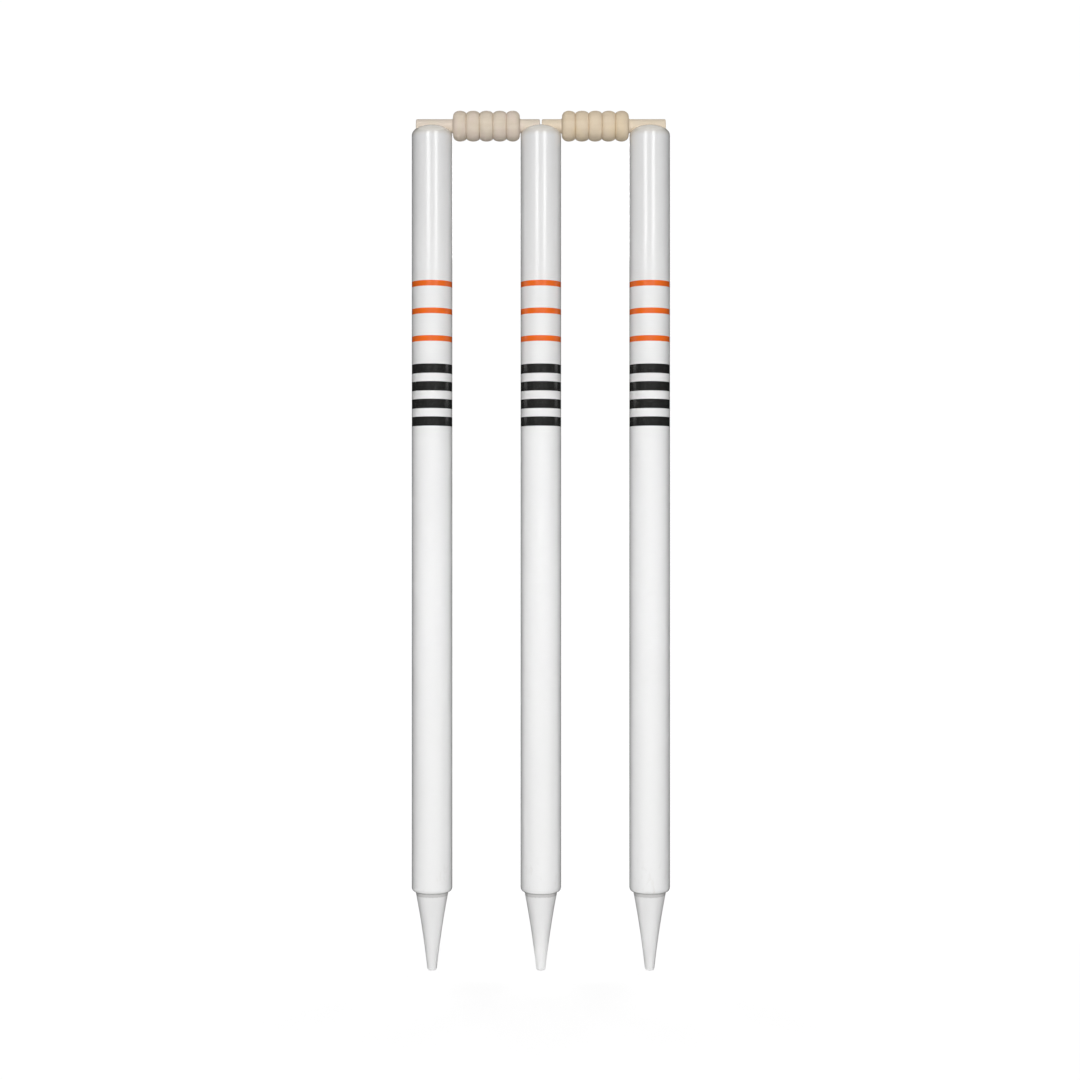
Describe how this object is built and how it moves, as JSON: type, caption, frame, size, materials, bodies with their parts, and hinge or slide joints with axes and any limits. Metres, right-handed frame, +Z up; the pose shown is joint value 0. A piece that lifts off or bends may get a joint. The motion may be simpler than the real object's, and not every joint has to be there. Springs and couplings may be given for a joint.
{
  "type": "cricket stumps",
  "caption": "Upright round wooden stumps in a row, with domed and grooved tops, tapered spikes below, and beaded turned bails lying across the tops.",
  "frame": {"origin": "the middle stump's axis at the turf, in the plane of the stumps' shoulders", "axes": "+Z up along the stumps, X along the wicket, Y across it"},
  "size_m": [0.2396, 0.0376, 0.7974],
  "materials": {
    "gloss_paint": "gloss white paint on turned wood, with plain coloured rings",
    "matt_paint": "thin matt white paint on turned wood",
    "bare_wood": "bare, sanded, pale turned wood"
  },
  "bodies": {
    "middle_stump": {"middle_stump_shaft": "gloss_paint", "middle_stump_spike": "matt_paint"},
    "left_stump": {"left_stump_shaft": "gloss_paint", "left_stump_spike": "matt_paint"},
    "right_stump": {"right_stump_shaft": "gloss_paint", "right_stump_spike": "matt_paint"},
    "left_bail": {"left_bail": "bare_wood"},
    "right_bail": {"right_bail": "bare_wood"}
  },
  "joints": [
    {"name": "left_stump_pull", "type": "slide", "parent": "middle_stump", "child": "left_stump", "axis": [0, 0, 1], "range_m": [0, 0.075]},
    {"name": "right_stump_pull", "type": "slide", "parent": "middle_stump", "child": "right_stump", "axis": [0, 0, 1], "range_m": [0, 0.075]},
    {"name": "left_bail_lift", "type": "slide", "parent": "left_stump", "child": "left_bail", "axis": [0, 0, 1], "range_m": [0, 0.04]},
    {"name": "right_bail_lift", "type": "slide", "parent": "right_stump", "child": "right_bail", "axis": [0, 0, 1], "range_m": [0, 0.04]}
  ]
}
